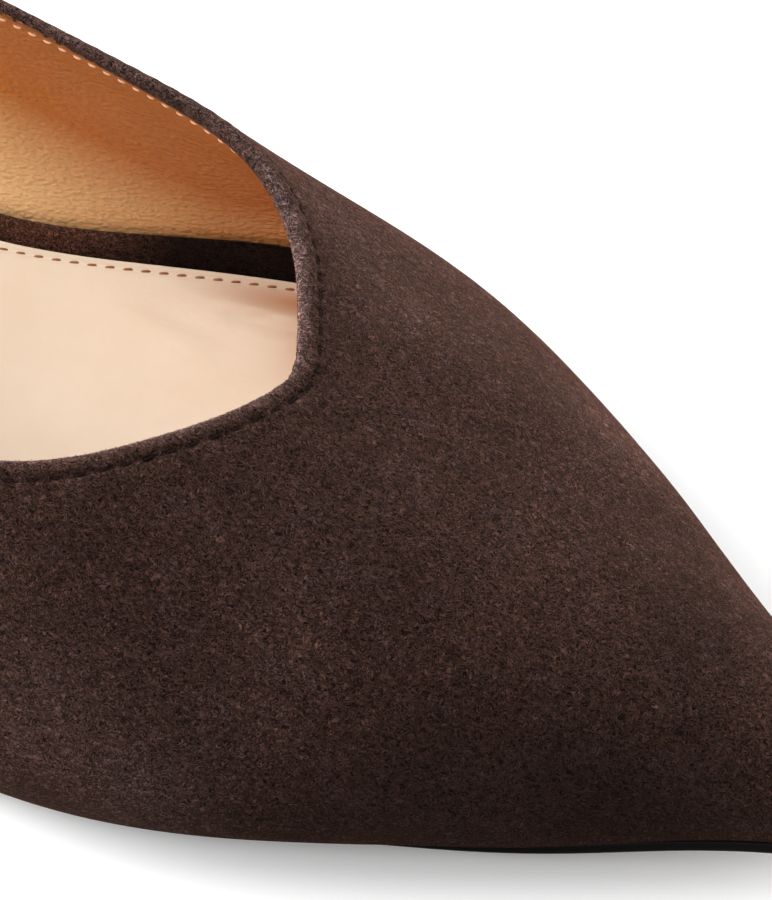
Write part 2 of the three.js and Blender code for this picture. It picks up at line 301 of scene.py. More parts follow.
def torus_piece(name, rings, round_it, down):
    """Rings that close on themselves. round_it and down give the places for the UV map."""
    size = len(rings[0])
    count = len(rings)
    points = np.concatenate(rings)
    faces = []
    uv = []
    for r in range(count):
        s = (r + 1) % count
        for c in range(size):
            n = (c + 1) % size
            faces.append((r * size + n, r * size + c, s * size + c, s * size + n))
            for ring, at in ((r, c + 1), (r, c), (s, c), (s, c + 1)):
                uv.append((round_it[at], down[ring]))
    return new_piece(name, points, faces, uv)


print("a new piece gets", BETWEEN, "points for each of the solid's")

# %% [markdown]
# ## Reading, moving and painting points
#
# A piece is refined after its quads are rounded: its points are read as one array and
# moved along their normals, by amounts that depend on where they lie. Where a finish
# changes from place to place, a number is stored on each point, and a material reads it.

# %% Read, move and paint points
def points_of(piece):
    flat = np.empty(len(piece.data.vertices) * 3)
    piece.data.vertices.foreach_get("co", flat)
    return flat.reshape(-1, 3)


def normals_of(piece):
    flat = np.empty(len(piece.data.vertices) * 3, dtype=np.float32)
    piece.data.vertex_normals.foreach_get("vector", flat)
    return flat.reshape(-1, 3).astype(float)


def places_of(piece):
    """Each point's place in the UV map."""
    mesh = piece.data
    uv = np.empty(len(mesh.loops) * 2, dtype=np.float32)
    mesh.uv_layers[0].data.foreach_get("uv", uv)
    corner = np.empty(len(mesh.loops), dtype=np.int32)
    mesh.loops.foreach_get("vertex_index", corner)
    places = np.zeros((len(mesh.vertices), 2))
    places[corner] = uv.reshape(-1, 2)
    return places


def move_points(piece, amount):
    """Moves each point along its normal."""
    moved = points_of(piece) + normals_of(piece) * amount[:, None]
    piece.data.vertices.foreach_set("co", moved.ravel())
    piece.data.update()


def bell(value, middle, width):
    return np.exp(-(((value - middle) / width) ** 2))


def spot(points, x, y, z, size):
    """How near each point is to a place given in millimetres: 1 there, 0 far off."""
    return bell(np.linalg.norm(points / MM - (x, y, z), axis=1), 0, size)


def beside(points, start, end):
    """Seen from above: how far along a line each point lies, and how far beside it."""
    start, end = np.array(start) * MM, np.array(end) * MM
    share = ((points[:, :2] - start) @ (end - start)) / ((end - start) @ (end - start))
    nearest = start + np.clip(share, 0, 1)[:, None] * (end - start)
    return share, np.linalg.norm(points[:, :2] - nearest, axis=1)


def paint(piece, name, values):
    """Stores a number for each point, which a material can read."""
    layer = piece.data.attributes.new(name, "FLOAT", "POINT")
    layer.data.foreach_set("value", values)


def report(piece):
    mesh = piece.data
    mesh.calc_loop_triangles()
    print(piece.name, len(mesh.vertices), "points", len(mesh.loop_triangles), "triangles")


print("point helpers ready")

# %% [markdown]
# ## The sole's line
#
# The wall stands on the sole, so the sole's upper face is read from the wall's foot.

# %% The sole's line
SEAT = 0.3 * MM
foot = outer_face[0]
by_length = np.argsort(foot[:, 0])


def sole_top(x):
    return np.interp(x, foot[by_length, 0], foot[by_length, 2]) - SEAT


print("the sole's upper face is", round(sole_top(0.0) / MM, 1), "mm high at the heel")

# %% [markdown]
# ## Where the collar is cut
#
# The leather at the collar follows the photograph more closely than the solid does. It
# is cut back a little round the point of the throat, and along the far side it is
# skived, which means pared thin, so that its fold is slimmer there. Both are given by
# column: column 0 is at the toe and the outer side comes next.

# %% The cut of the collar
CHANNEL_AT = 1.35
FOLD_ZONE = 4.4
TRIM_AT = (0, 2, 4, 6, 8, 10, 20, 26, 76, 80, 82, 84, 86, 90, 92, 94, 96)
TRIM = (1.75, 1.55, 1.2, 0.8, 0.5, 0.35, 0.25, 0, 0, 0.25, 0.5, 1.0, 1.3, 1.3, 1.45, 1.7, 1.75)
trim = np.interp(np.arange(COLUMNS), TRIM_AT, TRIM) * MM
collar_x, collar_y = outer_face[-1][:, 0], outer_face[-1][:, 1]
on_far_side = np.clip((collar_y + 5 * MM) / (15 * MM), 0, 1)
skived = 1 - 0.3 * np.interp(collar_x, [0.108, 0.138], [1, 0]) * on_far_side


def below_share(start, share):
    """A distance below the fold that goes from start to the foot of the wall."""
    return start + (wall_height - start) * share


def trimmed(distance, depth):
    """A ring near the collar, cut back and skived."""
    thinner = skived + (1 - skived) * np.clip(distance / (FOLD_ZONE * MM), 0, 1)
    return wall_ring(distance + trim, depth * thinner)


def fold_ring(r):
    """A ring of the solid's fold, cut back and skived in the same way."""
    round_it = (woven[r] - woven[WALL_ROWS]) * skived[:, None]
    return woven[WALL_ROWS] + round_it + trimmed(0, 0) - wall_ring(0, 0)


channel = finer(trimmed(CHANNEL_AT * MM, 0))
channel_lengths = lengths_round(channel)
stitch_count = round(channel_lengths[-1] / (STITCH_PITCH * MM))
stitch_places = channel_lengths / channel_lengths[-1] * stitch_count
print(stitch_count, "stitches round the collar,", round(channel_lengths[-1] / MM), "mm")

# %% [markdown]
# ## The suede skin
#
# Suede about a millimetre thick is pulled over the last and tucked under its foot.
# At the collar it turns over the edge in a round fold. A row of stitches below the edge
# holds the fold down, and it sinks into the nap in a channel. The rings near the collar
# lie close together for that. Each line of the two tables is a distance below the
# fold's start and a depth in the wall, in millimetres, and a negative depth stands
# proud. At the foot the skin hangs a little lower, to close on the sole.

# %% Suede skin
SUEDE = 1.05
CHANNEL_ROWS = (
    (4.4, 0),
    (3.0, -0.03),
    (2.1, -0.05),
    (1.65, 0.03),
    (1.35, 0.12),
    (1.05, 0.03),
    (0.7, -0.06),
    (0.3, -0.04),
)
TUCKED_ROWS = ((0.15, 2.26), (0.38, 2.08), (0.5, 1.7), (1.0, 1.1))
FOLD_END = -3.9
rings = []
down = []
for share in np.linspace(1, 0.08, 11):
    rings.append(wall_ring(below_share(FOLD_ZONE * MM + trim, share), 0))
    down.append(FOLD_ZONE + 70 * share)
near_toe = bell(rings[0][:, 0], 196 * MM, 15 * MM) * (rings[0][:, 1] < 0)
rings[0][:, 2] -= (0.22 + 0.35 * near_toe) * MM
for distance, depth in CHANNEL_ROWS:
    rings.append(trimmed(distance * MM, depth * MM))
    down.append(distance)
for r in range(WALL_ROWS, WALL_ROWS + FOLD_ROWS + 1):
    rings.append(fold_ring(r))
    down.append(-0.8 * (r - WALL_ROWS))
for distance, depth in TUCKED_ROWS:
    rings.append(trimmed(distance * MM, depth * MM))
    down.append(-4 - distance)
for share in (0.15, 0.4, 0.7, 1):
    rings.append(wall_ring(below_share(1.6 * MM, share), SUEDE * MM))
    down.append(-6 - 70 * share)
suede_skin = torus_piece("suede_skin", [finer(r) for r in rings], stitch_places, down)
subdivided(suede_skin, 1)
report(suede_skin)

# %% [markdown]
# ## Dips, puckers and soft creases
#
# Each stitch pulls the suede into a small dip, and the suede swells between the dips.
# Where the two seams meet at the throat it puckers. Further down, the vamp has a few
# broad and shallow troughs and ridges from lasting. The puckers and the creases are
# listed: x, y, z, how wide and how high, in millimetres.

# %% Relief of the suede
PUCKERS = (
    (153.2, -11.8, 38.6, 0.9, -0.3),
    (150.6, -15.2, 38.8, 0.8, -0.2),
    (156.4, -3.4, 38.4, 0.9, -0.28),
    (157.0, -1.4, 38.2, 0.7, -0.3),
    (157.2, 0.9, 38.1, 0.8, -0.25),
    (155.3, -5.6, 38.9, 1.0, 0.16),
    (156.2, 2.9, 38.6, 0.9, 0.14),
    (147.6, -18.4, 38.4, 0.8, -0.18),
    (141.6, -23.6, 38.0, 0.8, -0.16),
    (154, -19, 36, 5.0, -0.22),
    (142, -32, 32, 6.0, 0.25),
    (172, -13, 31, 6.5, 0.3),
    (163, -30, 27, 6.0, -0.25),
    (190, -15, 23, 6.0, 0.2),
    (95, -30, 25, 8.0, 0.3),
    (60, 22, 28, 9.0, -0.3),
)
skin_points = points_of(suede_skin)
stitch_at, below = places_of(suede_skin).T
beat = np.cos(2 * math.pi * stitch_at)
row = bell(below, CHANNEL_AT, 0.34)
dips = -0.16 * MM * row * np.clip(beat + 0.35, 0, 1)
swells = 0.06 * MM * bell(below, CHANNEL_AT, 1.2) * (1 - row) * -beat
above_sole = skin_points[:, 2] - sole_top(skin_points[:, 0])
foot_roll = 0.35 * MM * bell(above_sole, 1.6 * MM, 1.3 * MM) * (below > 3) * (below < 80)
puckers = np.zeros(len(skin_points))
for x, y, z, size, height in PUCKERS:
    puckers += height * MM * spot(skin_points, x, y, z, size) * (below > FOLD_END)
move_points(suede_skin, dips + swells + foot_roll + puckers)
print(len(PUCKERS), "puckers and creases")

# %% [markdown]
# ## Painted light and shade on the suede
#
# Lighter and darker areas are painted into the suede for the light that falls on it,
# for example brighter low on the near side of the ball and darker low on the near side
# of the toe. They are listed, and stored on the skin as a number by which the material
# multiplies its browns: x, y, z, width, and how much lighter. A painted highlight also
# runs along the crest of the fold, strongest beside the throat.

# %% Painted light and shade on the suede
# Painted light (above 0) and painted shade (below 0) on the suede, in spots
PAINTED_SHADING_SPOTS = (
    (149, -41, 20, 9, 0.55),
    (128, -38, 16, 9, 0.3),
    (162, -41, 12, 8, 0.8),
    (167, -21, 30, 8, 0.3),
    (172, -31, 21, 8, 0.35),
    (180, -32, 14, 9, -0.2),
    (189, -25, 16, 8, -0.35),
    (201, -19, 15, 9, -0.42),
    (212, -14, 14, 10, -0.48),
    (206, 3, 25, 8, -0.2),
    (147, 25, 33, 7, 0.35),
    (183, 23, 22, 7, 0.25),
    (95, -27, 18, 11, -0.2),
    (55, -24, 26, 12, 0.3),
    (20, -26, 34, 9, -0.2),
    (70, 22, 30, 13, 0.25),
    (10, 24, 22, 11, -0.2),
    (120, 36, 20, 10, 0.2),
)
skin_points = points_of(suede_skin)
painted_shading = np.ones(len(skin_points))
for x, y, z, size, lighter in PAINTED_SHADING_SPOTS:
    painted_shading *= 1 + lighter * spot(skin_points, x, y, z, size)
# A painted highlight along the crest of the fold, strongest beside the throat
on_fold = (below < CHANNEL_AT) * (below > FOLD_END)
past_waist = np.clip((skin_points[:, 0] - 118 * MM) / (20 * MM), 0, 1)
at_throat = bell(skin_points[:, 1], 9 * MM, 13 * MM) * past_waist
painted_shading *= 1 + (1.0 + 1.6 * at_throat) * bell(below, -1.3, 1.1) * on_fold
paint(suede_skin, "painted_shading", painted_shading)
print("brushing from", round(painted_shading.min(), 2), "to", round(painted_shading.max(), 2))

# %% [markdown]
# ## The lining
#
# The tan lining is cut along the fold, where it ends in a thin lip with a row of tan
# stitches in a shallow groove. Each stitch pulls the lip in a little, so the lip comes
# out scalloped. These stitches are shorter than those on the suede side, so they are
# counted separately. Along the back half the lip climbs higher into the fold.

# %% Lining
LINING_ROW = 2.75
LINING_PITCH = 1.95
LIP_ROWS = (
    (0.7, 1.75),
    (0.45, 1.95),
    (0.5, 2.1),
    (0.8, 2.25),
    (1.6, 2.29),
    (2.3, 2.24),
    (2.75, 2.13),
    (3.2, 2.24),
    (3.9, 2.2),
)
lining_count = round(channel_lengths[-1] / (LINING_PITCH * MM))
lining_places = stitch_places / stitch_count * lining_count
climb_back = np.interp(collar_x, [0.104, 0.134], [-0.95 * MM, 0.05 * MM])
rings = []
down = []
for distance, depth in LIP_ROWS:
    rings.append(trimmed(distance * MM + climb_back, depth * MM))
    down.append(distance)
for share in np.linspace(0.08, 1, 11):
    rings.append(wall_ring(below_share(4.2 * MM + trim, share), WALL))
    down.append(3.8 + 70 * share)
for share in (1, 0.7, 0.4, 0.15, 0):
    rings.append(wall_ring(below_share(1.6 * MM, share), 1.25 * MM))
    down.append(-5 - 70 * share)
lining = torus_piece("lining", [finer(r) for r in rings], lining_places, down)
subdivided(lining, 1)
stitch_at, below = places_of(lining).T
beat = np.cos(2 * math.pi * stitch_at)
scallop = -0.13 * MM * bell(below, 0.7, 0.45) * beat
pulls = -0.1 * MM * bell(below, LINING_ROW, 0.35) * np.clip(beat + 0.3, 0, 1)
move_points(lining, scallop + pulls)
report(lining)
print(lining_count, "stitches along the lining")

# %% [markdown]
# ## The suede band
#
# Between the lining and the sock a band of the same suede closes the foot of the wall.
# Its solid is already right, so its rings are read and rounded. Its crest sits a
# little lower than the solid's, and droops near the throat on the far side.

# %% Suede band
BAND_COLUMNS = 91
BAND_CREST = 4
DROOP_AT = (0, 65, 68, 70, 72, 91)
DROOP = (0.3, 0, 0.35, 1.1, 1.3, 0.3)
band_rings = rings_of("foot_band", BAND_COLUMNS)
droop = np.interp(np.arange(BAND_COLUMNS), DROOP_AT, DROOP) * MM
for r, share in ((3, 0.5), (4, 1), (5, 1), (6, 0.5)):
    band_rings[r, :, 2] -= droop * share
band_rings[BAND_CREST, :, 2] -= 1.1 * MM
round_band = np.linspace(0, 1, BAND_COLUMNS * BETWEEN + 1)
band = torus_piece("suede_band", [finer(r) for r in band_rings], round_band, [0] * len(band_rings))
subdivided(band, 1)
report(band)

# %% [markdown]
# ## Closing a stack of rings
#
# The sock and the sole are solid sheets. Their edge is a stack of rings, and above and
# below it is closed by rungs that run from the outer side to the inner side, with a
# height for each point. The sock's rings stop short of the toe's tip, where its end is
# cut straight across, so its last edge is a straight row of points.

# %% A capped piece
def capped_piece(name, rings, top, bottom, across, whole):
    """Rings closed above and below by rungs from side to side.
    top and bottom give the height of a rung's point. Rings that don't go all the way
    round are closed at the toe by a straight row of points."""
    sides = len(rings[0])
    if not whole:
        shares = (np.arange(1, across) / across)[:, None]
        ends = [ring[-1:] + (ring[:1] - ring[-1:]) * shares for ring in rings]
        rings = [np.concatenate(pair) for pair in zip(rings, ends)]
        for p, share in zip(rings[-1][sides:], shares[:, 0]):
            p[2] = top(p, share)
    size = len(rings[0])
    points = [tuple(p) for ring in rings for p in ring]
    faces = []
    for r in range(len(rings) - 1):
        for c in range(size):
            n = (c + 1) % size
            faces.append((r * size + n, r * size + c, (r + 1) * size + c, (r + 1) * size + n))

    def cap(first, height, turned):
        previous = None
        k = 0
        while True:
            other = (size - k) % size if whole else sides - 1 - k
            if k > other and k > 0:
                return
            a, b = np.array(points[first + k]), np.array(points[first + other])
            rung = [first + k]
            for j in range(1, across):
                if k == 0 and not whole:
                    rung.append(first + size - j)
                    continue
                if k == other or k == 0:
                    rung.append(first + k)
                    continue
                p = a + (b - a) * j / across
                p[2] = height(p, j / across)
                points.append(tuple(p))
                rung.append(len(points) - 1)
            rung.append(first + other)
            if previous is not None:
                for j in range(across):
                    corners = [previous[j], previous[j + 1], rung[j + 1], rung[j]]
                    kept = [v for i, v in enumerate(corners) if v not in corners[:i]]
                    if turned:
                        kept.reverse()
                    if len(kept) > 2:
                        faces.append(tuple(kept))
            previous = rung
            k += 1

    cap(0, bottom, True)
    cap((len(rings) - 1) * size, top, False)
    return new_piece(name, points, faces)


print("rungs ready")

# %% [markdown]
# ## The sock
#
# The sock is a pale leather pad on a thin board, which the foot rests on. Its edge is
# turned and stitched all round, which leaves a rounded lip outside the row of stitches
# and a soft crown inside it. The sock is as wide as the wall is at its height, so its
# outline is found by climbing the wall by the sock's thickness.

# %% The sock
SOCK = 3.2 * MM
CROWN = 1.2 * MM
SOCK_DEPTH = 3.9 * MM
SOCK_FIRST = 5
SOCK_ROW = 1.15
SOCK_LIP = ((0.15, 0.1), (0.4, -0.3), (0.75, -0.2), (SOCK_ROW, 0.3), (1.5, 0.05), (2.1, -0.08), (3.6, -0.1))
fine_inner = smooth_through(inner_face, fine_places)


def sock_ring(height, depth):
    """The wall's outline at a height above the sole, at a depth under its outer face."""
    points = fine_outer + (fine_inner - fine_outer) * (depth / WALL)
    climb = points[:, :, 2] - sole_top(points[:, :, 0]) - SEAT
    ring = []
    for c in range(COLUMNS):
        at = np.interp(height, climb[:, c], np.arange(len(climb)))
        low = min(int(at), len(climb) - 2)
        p = points[low, c] + (points[low + 1, c] - points[low, c]) * (at - low)
        ring.append((p[0], p[1], sole_top(p[0]) + SEAT + height))
    kept = np.array(ring)[SOCK_FIRST : COLUMNS - SOCK_FIRST + 1]
    return finer(kept, closed=False, parts=2)


def inset(ring, distance, lower):
    """The ring moved inwards along the floor, and down from the sock's height."""
    way = np.gradient(ring, axis=0)
    out = np.stack([-way[:, 1], way[:, 0], 0 * way[:, 0]], axis=1)
    out /= np.linalg.norm(out, axis=1)[:, None]
    moved = ring - out * distance
    moved[:, 2] = sole_top(moved[:, 0]) + SEAT + SOCK - lower
    return moved


def lifted(ring):
    """Beside the throat the sock's far edge stands up against the band a little."""
    far_side = np.clip(ring[:, 1] / (20 * MM), 0, 1)
    return 0.7 * MM * bell(ring[:, 0], 122 * MM, 15 * MM) * far_side


edge = sock_ring(SOCK * 0.8, SOCK_DEPTH)
rings = [sock_ring(0.2 * MM, SOCK_DEPTH + SEAT), sock_ring(SOCK * 0.35, SOCK_DEPTH), edge]
for distance, lower in SOCK_LIP:
    ring = inset(edge, distance * MM, lower * MM)
    ring[:, 2] += lifted(ring) * np.interp(distance, [1.2, 6], [1, 0.2])
    rings.append(ring)
rings[2][:, 2] += lifted(edge)


def sock_face(p, share):
    return sole_top(p[0]) + SEAT + SOCK + 0.1 * MM + CROWN * 4 * share * (1 - share)


def sock_back(p, share):
    return sole_top(p[0]) + SEAT + 0.2 * MM


sock = capped_piece("sock", rings, sock_face, sock_back, across=22, whole=False)
subdivided(sock, 2)
report(sock)

# %% [markdown]
# ## Creases and painted shade on the sock
#
# Near the throat the far edge of the sock has been pressed: its leather has a few
# creases along the edge, and shade is painted there as a browner colour along the edge
# and in the creases. Each crease is a line seen from above, with a width and a height in
# millimetres. Each painted shade line has a width and how brown it is at its start and at
# its end, which is stored for the material.

# %% Creases and painted shade
CREASES = (
    ((130.5, 27.3), (142, 29.9), 0.7, 0.4),
    ((131.5, 26.2), (142, 28.5), 0.6, -0.3),
    ((134, 25.3), (142, 27.6), 0.7, 0.32),
    ((124, 26.2), (132, 26.9), 0.9, 0.1),
    ((123, 22.4), (135, 22.2), 1.0, -0.1),
    ((118, 20.4), (131, 19.4), 1.3, 0.1),
    ((112, -4), (124, -6), 1.6, -0.08),
)
# Lines of painted shade near the throat: start, end, width, brown at start, brown at end
PAINTED_SHADE_LINES = (
    ((125.5, 27.4), (139.5, 32.1), 2.1, 0.08, 1.0),
    ((139.5, 31.0), (142.5, 22.0), 3.0, 0.5, 0.2),
    ((130.0, 26.6), (142.0, 29.1), 0.45, 0.12, 0.5),
    ((133.0, 24.7), (142.0, 27.0), 0.45, 0.08, 0.38),
    ((122.0, 25.0), (131.0, 26.2), 0.6, 0.02, 0.12),
)
points = points_of(sock)
upper_side = points[:, 2] > sole_top(points[:, 0]) + SEAT + 2 * MM
for start, end, width, height in CREASES:
    share, away = beside(points, start, end)
    fade = np.clip(1.4 - np.abs(share - 0.5) * 1.6, 0, 1)
    points[:, 2] += upper_side * fade * height * MM * bell(away, 0, width * MM)
sock.data.vertices.foreach_set("co", points.ravel())
sock.data.update()
painted_shade = np.zeros(len(points))
for start, end, width, first, last in PAINTED_SHADE_LINES:
    share, away = beside(points, start, end)
    brown = first + (last - first) * np.clip(share, 0, 1)
    painted_shade = np.maximum(painted_shade, brown * bell(away, 0, width * MM))
paint(sock, "painted_shade", painted_shade)
print(len(CREASES), "creases,", len(PAINTED_SHADE_LINES), "worn lines")

# %% [markdown]
# ## The outsole
#
# The sole is one sheet of leather 2.4 mm thick, cut to the outline of the wall's foot.
# Its edge is bevelled, inked black and polished, and the ink stops short of the
# underside, so a thin line of bare leather shows below it. On the outer side the
# suede bulges over the sole at the ball, so the sole is set in a little there. Each
# pair in the edge's profile is a distance inwards and a height, in millimetres.

# %% Outsole
THICK = 2.4 * MM
ahead = np.roll(foot, -1, axis=0) - np.roll(foot, 1, axis=0)
outwards = np.stack([-ahead[:, 1], ahead[:, 0], 0 * ahead[:, 0]], axis=1)
outwards /= np.linalg.norm(outwards, axis=1)[:, None]
EDGE = ((2.6, 0), (1.1, 0), (0.55, 0.14), (0.16, 0.55), (0, 1.2), (0, 2.0), (0.12, 2.32), (0.7, 2.4))
INK_FROM = 0.5
rings = []
set_in = 0.25 + 0.75 * bell(foot[:, 0], 170 * MM, 26 * MM) * (foot[:, 1] < 0)
for inwards, height in EDGE:
    ring = foot - outwards * ((inwards + set_in) * MM)[:, None]
    ring[:, 2] = sole_top(ring[:, 0]) - THICK + height * MM
    rings.append(finer(ring, parts=2))


def sole_face(p, share):
    return sole_top(p[0])


def sole_underside(p, share):
    return sole_top(p[0]) - THICK


outsole = capped_piece("outsole_leather", rings, sole_face, sole_underside, across=12, whole=True)
subdivided(outsole, 1)
points = points_of(outsole)
above_floor = points[:, 2] - sole_top(points[:, 0]) + THICK
paint(outsole, "ink", np.clip((above_floor - INK_FROM * MM) / (0.2 * MM), 0, 1))
report(outsole)

# %% [markdown]
# ## The heel
#
# The heel is a low block with a top lift, so its solid is copied. A thin groove is cut
# where the lift meets the stack: the block is bisected twice, and the faces between the
# two cuts are pressed in.

# %% Heel
LIFT = 2.6 * MM
GROOVE = 0.35 * MM
heel = merged_copy("heel")
heel.name = "heel_block"
choose(heel)
for height in (LIFT, LIFT + GROOVE):
    bpy.ops.object.mode_set(mode="EDIT")
    bpy.ops.mesh.select_all(action="SELECT")
    bpy.ops.mesh.bisect(plane_co=(0, 0, height), plane_no=(0, 0, 1))
    bpy.ops.object.mode_set(mode="OBJECT")
for face in heel.data.polygons:
    face.select = LIFT < face.center[2] < LIFT + GROOVE
bpy.ops.object.mode_set(mode="EDIT")
bpy.ops.mesh.select_mode(type="FACE")
bpy.ops.mesh.extrude_region_shrink_fatten(TRANSFORM_OT_shrink_fatten={"value": -0.25 * MM})
bpy.ops.object.mode_set(mode="OBJECT")
bpy.ops.object.shade_smooth_by_angle(angle=math.radians(35))
report(heel)

# %% [markdown]
# ## Stitches
#
# A stitch is a short length of thread that comes up through one hole and goes down
# through the next, so it is a rod with drooping ends. One is modelled from a sphere,
# stretched and bent, and then repeated along each row. It has few faces, because there
# are hundreds of them.

# %% Rows of stitches
def one_stitch(length, thick):
    """A stitch along X with its ends bent down, as points and faces."""
    bpy.ops.object.select_all(action="DESELECT")
    bpy.ops.mesh.primitive_uv_sphere_add(segments=8, ring_count=8, radius=1)
    model = bpy.context.object
    points = points_of(model)
    faces = [tuple(reversed(f.vertices)) for f in model.data.polygons]
    bpy.data.objects.remove(model)
    along = np.sign(points[:, 2]) * np.abs(points[:, 2]) ** 0.8
    full = (1 - along**4) ** 0.25 / np.maximum(np.sqrt(1 - points[:, 2] ** 2), 1e-6)
    full[np.abs(points[:, 2]) > 0.999] = 0
    across = points[:, :2] * full[:, None] * thick / 2
    droop = 1.1 * thick * np.abs(along) ** 3
    return np.stack([along * length / 2, across[:, 1], across[:, 0] - droop], axis=1), faces


def stitch_row(name, line, outward, closed, pitch, length, thick, sink, slant):
    """Stitches along a line of points, at a depth under it, each turned by a slant.
    All lengths are in millimetres."""
    pitch, length, thick, sink = pitch * MM, length * MM, thick * MM, sink * MM
    ends = np.concatenate([line, line[:1]]) if closed else line
    faced = np.concatenate([outward, outward[:1]]) if closed else outward
    along = np.concatenate([[0], np.linalg.norm(np.diff(ends, axis=0), axis=1).cumsum()])
    count = round(along[-1] / pitch)
    model, model_faces = one_stitch(length, thick)
    points = []
    faces = []
    first = 0 if closed else 1
    for k in range(first, count):
        at = along[-1] * k / count
        here, ahead, up = (
            np.array([np.interp(at + step, along, values[:, i]) for i in range(3)])
            for step, values in ((0, ends), (0.3 * MM, ends), (0, faced))
        )
        way = ahead - here
        way /= np.linalg.norm(way)
        up -= way * (up @ way)
        up /= np.linalg.norm(up)
        side = np.cross(up, way)
        c, s = math.cos(slant), math.sin(slant)
        start = len(points)
        points.extend(here - up * sink + model @ np.array([way * c + side * s, side * c - way * s, up]))
        faces.extend(tuple(start + v for v in face) for face in model_faces)
    row = new_piece(name, points, faces)
    choose(row)
    bpy.ops.object.shade_smooth()
    report(row)
    return row


def out_of_wall(distance):
    return finer(wall_ring(distance, 0) - wall_ring(distance, WALL))


out_of_skin = out_of_wall(CHANNEL_AT * MM)
collar_thread = stitch_row("collar_thread", channel, out_of_skin, True, STITCH_PITCH, 1.6, 0.24, 0.24, 0.12)

lining_line = finer(trimmed(LINING_ROW * MM + climb_back, WALL + 0.06 * MM))
into_shoe = -out_of_wall(LINING_ROW * MM)
lining_thread = stitch_row("lining_thread", lining_line, into_shoe, True, LINING_PITCH, 1.5, 0.34, 0, 0.3)

sock_line = inset(edge, SOCK_ROW * MM, 0.2 * MM)
sock_line[:, 2] += lifted(sock_line)
upwards = np.zeros_like(sock_line)
upwards[:, 2] = 1
sock_thread = stitch_row("sock_thread", sock_line, upwards, False, 2.1, 1.6, 0.34, -0.03, 0.16)

# %% [markdown]
# ## Loose fibres
#
# Along a folded edge the nap stands up, and single fibres show against the pale sock.
# Each fibre here is a thin bent spike with a closed root. They are spread at random,
# with a fixed seed, over the fold. They carry the same painted highlight number as the fold.

# %% Fibres
# The fibres' painted highlight, as on the fold
FIBRE_PAINTED_SHADING = 1.9


def fibres(name, roots, outward, way, shortest, longest):
    """A spike at each root, leaning out and along the nap."""
    points = []
    faces = []
    dice = np.random.default_rng(38)
    corners = np.array([(math.cos(a), math.sin(a)) for a in (0, 2 * math.pi / 3, 4 * math.pi / 3)])
    for root, up, along in zip(roots, outward, way):
        lean = up + along * dice.normal(0.1, 0.7) + np.cross(up, along) * dice.normal(0, 0.6)
        lean /= np.linalg.norm(lean)
        bend = np.cross(lean, up + along * 0.3) * dice.normal(0, 0.8) + along * dice.normal(0, 0.5)
        length = dice.uniform(shortest, longest)
        side = np.cross(lean, (0.3, 0.5, 0.81))
        side /= np.linalg.norm(side)
        other = np.cross(lean, side)
        start = len(points)
        for share, thick in ((-0.15, 0.024), (0.5, 0.018)):
            middle = root + (lean * share + bend * share * share * 0.5) * length
            for a, b in corners:
                points.append(middle + (side * a + other * b) * thick * MM)
        points.append(root + (lean + bend * 0.5) * length)
        faces.append((start, start + 2, start + 1))
        for k in range(3):
            n = (k + 1) % 3
            faces.append((start + k, start + n, start + 3 + n, start + 3 + k))
            faces.append((start + 3 + k, start + 3 + n, start + 6))
    piece = new_piece(name, points, faces)
    paint(piece, "painted_shading", np.full(len(points), FIBRE_PAINTED_SHADING))
    report(piece)
    return piece


def spread_over(rows, count, dice):
    """Roots at random between rows of points, with the direction out and the way along."""
    grid = np.stack(rows)
    r = dice.uniform(0, len(rows) - 1, count)
    c = dice.integers(0, grid.shape[1], count)
    f = dice.uniform(0, 1, count)[:, None]
    low = r.astype(int)
    g = (r - low)[:, None]
    n = (c + 1) % grid.shape[1]
    here = grid[low, c] * (1 - g) + grid[low + 1, c] * g
    next_to = grid[low, n] * (1 - g) + grid[low + 1, n] * g
    along = next_to - here
    along /= np.linalg.norm(along, axis=1)[:, None]
    climb = grid[low + 1, c] - grid[low, c]
    up = np.cross(along, climb)
    up /= np.linalg.norm(up, axis=1)[:, None]
    return here * (1 - f) + next_to * f, up, along


dice = np.random.default_rng(11)
fold_rows = [finer(fold_ring(r)) for r in range(WALL_ROWS, WALL_ROWS + FOLD_ROWS + 1)]
roots, up, along = spread_over(fold_rows, 9000, dice)
collar_fibres = fibres("collar_fibres", roots, up, along, 0.2 * MM, 0.55 * MM)

# %% [markdown]
# ## Nodes in millimetres
#
# A material is a tree of nodes. These helpers add a node and fill its inputs in one
# line. The object's coordinates are scaled to millimetres first, so every pattern's
# size is a real one.

# %% Nodes in millimetres
def add(tree, kind, inputs=None, **settings):
    """A node with its settings. An input is a value or another node's output."""
    made = tree.nodes.new("ShaderNode" + kind)
    for key, value in settings.items():
        setattr(made, key, value)
    for key, value in (inputs or {}).items():
        if isinstance(value, bpy.types.NodeSocket):
            tree.links.new(value, made.inputs[key])
        else:
            made.inputs[key].default_value = value
    return made


def calc(tree, operation, *values):
    return add(tree, "Math", dict(enumerate(values)), operation=operation).outputs[0]


def times(tree, *values):
    """The product of all the values."""
    product = values[0]
    for value in values[1:]:
        product = calc(tree, "MULTIPLY", product, value)
    return product


def off(tree, value, middle):
    """How far a value is from the middle."""
    return calc(tree, "ABSOLUTE", calc(tree, "SUBTRACT", value, middle))


def ramp(tree, value, low, high, to_low, to_high):
    values = {"Value": value, "From Min": low, "From Max": high, "To Min": to_low, "To Max": to_high}
    return add(tree, "MapRange", values).outputs[0]


def noise(tree, vector, scale, detail=2.0, rough=0.55, distort=0.0):
    values = {"Vector": vector, "Scale": scale, "Detail": detail, "Roughness": rough}
    return add(tree, "TexNoise", {**values, "Distortion": distort})


def stretched(tree, vector, turned, scales):
    """The coordinates turned about Z and stretched."""
    values = {"Vector": vector, "Rotation": (0, 0, math.radians(turned)), "Scale": scales}
    return add(tree, "Mapping", values, vector_type="POINT").outputs[0]


